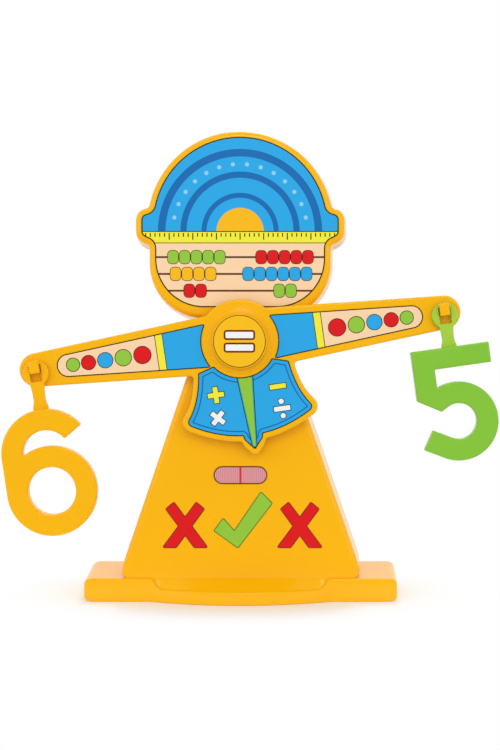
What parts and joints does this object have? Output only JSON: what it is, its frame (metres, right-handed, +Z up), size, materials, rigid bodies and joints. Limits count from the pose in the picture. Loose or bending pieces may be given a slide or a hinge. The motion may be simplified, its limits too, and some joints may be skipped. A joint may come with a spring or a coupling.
{
  "type": "math balance",
  "caption": "Toy number balance: moulded stand with a rounded head plate and a tilting two-armed beam with a pointer, hooks at its ends and hung numbers.",
  "frame": {"origin": "on the floor, under the middle of the stand and of the beam's pivot", "axes": "+X to the viewer's right along the beam, +Y from the front to the back, +Z up"},
  "size_m": [0.3959, 0.0909, 0.3834],
  "materials": {
    "yellow_plastic": "glossy moulded plastic",
    "green_plastic": "glossy moulded plastic",
    "steel": "plated steel",
    "label_blue": "printed vinyl",
    "label_peach": "printed vinyl",
    "label_pink": "printed vinyl",
    "label_yellow": "printed vinyl"
  },
  "bodies": {
    "stand": {"base": "yellow_plastic", "stand_front": "yellow_plastic", "stand_back": "yellow_plastic", "pivot_knob": "yellow_plastic", "pivot_washer": "steel", "pivot_screw": "steel", "back_screw_1": "steel", "back_screw_2": "steel", "back_screw_3": "steel", "back_screw_4": "steel", "back_screw_5": "steel", "base_screw_left": "steel", "base_screw_right": "steel", "head_label": "label_blue", "scale_label": "label_pink", "knob_label": "label_yellow"},
    "beam": {"beam": "yellow_plastic", "torso_label": "label_blue", "left_arm_label": "label_peach", "right_arm_label": "label_peach"},
    "six": {"number_six": "yellow_plastic"},
    "five": {"number_five": "green_plastic"}
  },
  "joints": [
    {"name": "beam_tilt", "type": "hinge", "parent": "stand", "child": "beam", "pos_m": [0, -0.038, 0.212], "axis": [0, 1, 0], "range_deg": [-9.95, 26.05]},
    {"name": "six_lift", "type": "slide", "parent": "beam", "child": "six", "axis": [-0.14, 0, 0.9901], "range_m": [0, 0.0062]},
    {"name": "five_lift", "type": "slide", "parent": "beam", "child": "five", "axis": [-0.14, 0, 0.9901], "range_m": [0, 0.0062]}
  ]
}
